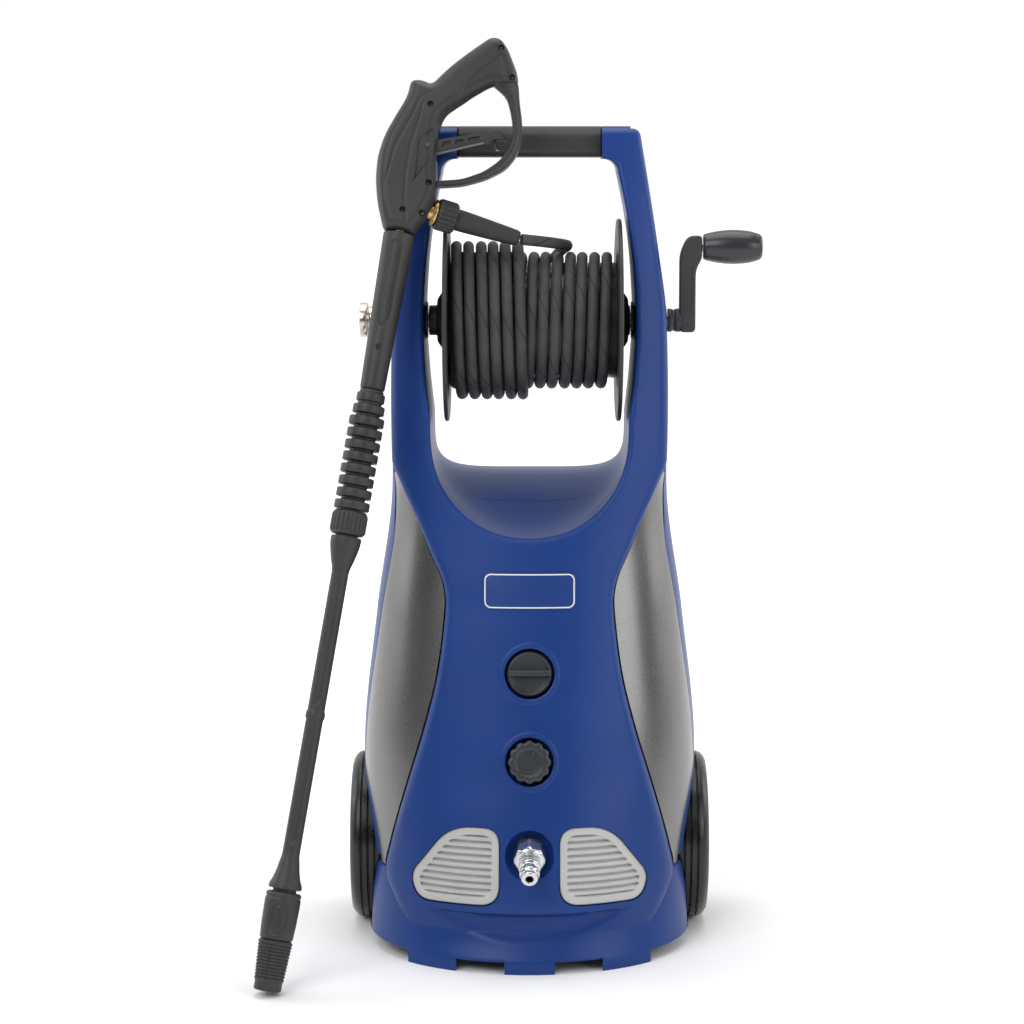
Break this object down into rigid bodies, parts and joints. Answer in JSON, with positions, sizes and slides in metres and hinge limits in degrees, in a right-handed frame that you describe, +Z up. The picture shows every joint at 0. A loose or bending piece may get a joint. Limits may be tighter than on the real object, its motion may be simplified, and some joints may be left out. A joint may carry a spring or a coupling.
{
  "type": "pressure washer",
  "caption": "Upright electric pressure washer on wheels with a hose reel between two arms, front controls, water inlet, spray gun and lance.",
  "frame": {"origin": "on the floor, at the middle of the underside of the middle front foot, on the plane of symmetry of the casing", "axes": "+Z up, -Y towards the front with the controls, +X to the right seen from the front"},
  "size_m": [0.5253, 0.4028, 0.9636],
  "materials": {
    "blue_plastic": "satin moulded",
    "grey_panel": "satin metallic grey",
    "silver_plastic": "satin silver",
    "black_plastic": "fine moulded texture",
    "rubber_black": "matt",
    "tyre_black": "satin",
    "chrome": "bright",
    "brass": "bright",
    "steel": "brushed",
    "cast_aluminium": "cast"
  },
  "bodies": {
    "machine": {"front_cover": "blue_plastic", "rear_cover": "blue_plastic", "side_panel_left": "grey_panel", "side_panel_right": "grey_panel", "vent_grille_left": "silver_plastic", "vent_grille_right": "silver_plastic", "badge": "silver_plastic", "base_tray": "black_plastic", "handle_grip": "black_plastic", "handle_tube": "steel", "switch_housing": "black_plastic", "unloader_valve": "brass", "inlet_body": "brass", "inlet_stub": "chrome", "pump_body": "cast_aluminium", "motor_housing": "cast_aluminium", "inlet_pipe": "steel", "pressure_pipe": "steel", "wheel_axle": "steel", "reel_bush_left": "black_plastic", "reel_bush_right": "black_plastic", "reel_swivel": "chrome", "cable_gland": "rubber_black", "hose_lead": "rubber_black"},
    "switch": {"switch_knob": "black_plastic"},
    "pressure_control": {"pressure_knob": "black_plastic"},
    "inlet_collar": {"inlet_nut": "chrome"},
    "rotor": {"motor_rotor": "steel", "motor_fan": "black_plastic", "swash_plate": "steel"},
    "left_wheel": {"tyre_left": "tyre_black", "wheel_left": "black_plastic", "hub_cap_left": "black_plastic"},
    "right_wheel": {"tyre_right": "tyre_black", "wheel_right": "black_plastic", "hub_cap_right": "black_plastic"},
    "reel": {"reel_axle": "steel", "reel_drum": "black_plastic", "reel_flange_left": "black_plastic", "reel_flange_right": "black_plastic", "hose_coil": "rubber_black", "crank_arm": "black_plastic", "crank_spindle": "steel"},
    "crank_grip": {"crank_knob": "black_plastic"},
    "spray_gun": {"gun_shell_front": "black_plastic", "gun_shell_back": "black_plastic", "gun_valve": "brass", "trigger_pin": "steel", "strain_relief": "rubber_black"},
    "trigger": {"trigger": "black_plastic"},
    "trigger_catch": {"trigger_lock": "black_plastic"},
    "hose_collar": {"hose_nut": "black_plastic"},
    "lance": {"lance_pipe": "steel", "lance_sleeve": "black_plastic", "lance_grip": "black_plastic", "lance_tube": "black_plastic"},
    "lance_collar": {"lance_nut": "black_plastic"},
    "nozzle": {"nozzle_head": "black_plastic", "nozzle_jet": "brass"},
    "nozzle_cuff": {"nozzle_sleeve": "black_plastic"}
  },
  "joints": [
    {"name": "switch_turn", "type": "hinge", "parent": "machine", "child": "switch", "pos_m": [0, 0.05, 0.305], "axis": [0, 0.9796, -0.2011], "range_deg": [0, 45]},
    {"name": "pressure_turn", "type": "hinge", "parent": "machine", "child": "pressure_control", "pos_m": [0, 0.03, 0.216], "axis": [0, 0.9796, -0.2011], "range_deg": [-135, 135]},
    {"name": "inlet_collar_turn", "type": "hinge", "parent": "machine", "child": "inlet_collar", "pos_m": [0, 0.01056, 0.124], "axis": [0, 0.9397, 0.342], "continuous": true},
    {"name": "motor_spin", "type": "hinge", "parent": "machine", "child": "rotor", "pos_m": [0, 0.148, 0.15], "axis": [0, 0, 1], "continuous": true},
    {"name": "left_wheel_roll", "type": "hinge", "parent": "machine", "child": "left_wheel", "pos_m": [-0.172, 0.225, 0.092], "axis": [1, 0, 0], "continuous": true},
    {"name": "right_wheel_roll", "type": "hinge", "parent": "machine", "child": "right_wheel", "pos_m": [0.172, 0.225, 0.092], "axis": [1, 0, 0], "continuous": true},
    {"name": "reel_turn", "type": "hinge", "parent": "machine", "child": "reel", "pos_m": [0, 0.188, 0.663], "axis": [1, 0, 0], "continuous": true},
    {"name": "crank_grip_spin", "type": "hinge", "parent": "reel", "child": "crank_grip", "pos_m": [0.215, 0.188, 0.741], "axis": [1, 0, 0], "continuous": true},
    {"name": "gun_lift", "type": "slide", "parent": "machine", "child": "spray_gun", "axis": [0, -0.5, 0.866], "range_m": [0, 0.16]},
    {"name": "trigger_squeeze", "type": "hinge", "parent": "spray_gun", "child": "trigger", "pos_m": [-0.10547, 0.13018, 0.84509], "axis": [0, 0.972, -0.235], "range_deg": [-18, 0], "stiffness_Nm_per_rad": 1, "springref_deg": 11.46},
    {"name": "trigger_catch_flip", "type": "hinge", "parent": "trigger", "child": "trigger_catch", "pos_m": [-0.03774, 0.13277, 0.85578], "axis": [0, 0.972, -0.235], "range_deg": [0, 40]},
    {"name": "hose_collar_turn", "type": "hinge", "parent": "spray_gun", "child": "hose_collar", "pos_m": [-0.12949, 0.11636, 0.78789], "axis": [0.9374, 0.1904, -0.2917], "continuous": true},
    {"name": "lance_turn", "type": "hinge", "parent": "spray_gun", "child": "lance", "pos_m": [-0.13492, 0.10871, 0.75625], "axis": [0.1646, 0.2318, 0.9587], "continuous": true},
    {"name": "lance_collar_turn", "type": "hinge", "parent": "lance", "child": "lance_collar", "pos_m": [-0.18497, 0.03825, 0.46479], "axis": [0.1646, 0.2318, 0.9587], "continuous": true},
    {"name": "nozzle_slide", "type": "slide", "parent": "lance", "child": "nozzle", "axis": [0.1646, 0.2318, 0.9587], "range_m": [0, 0.0024]},
    {"name": "nozzle_cuff_twist", "type": "hinge", "parent": "nozzle", "child": "nozzle_cuff", "pos_m": [-0.25906, -0.06605, 0.03336], "axis": [0.1646, 0.2318, 0.9587], "range_deg": [0, 90]}
  ]
}
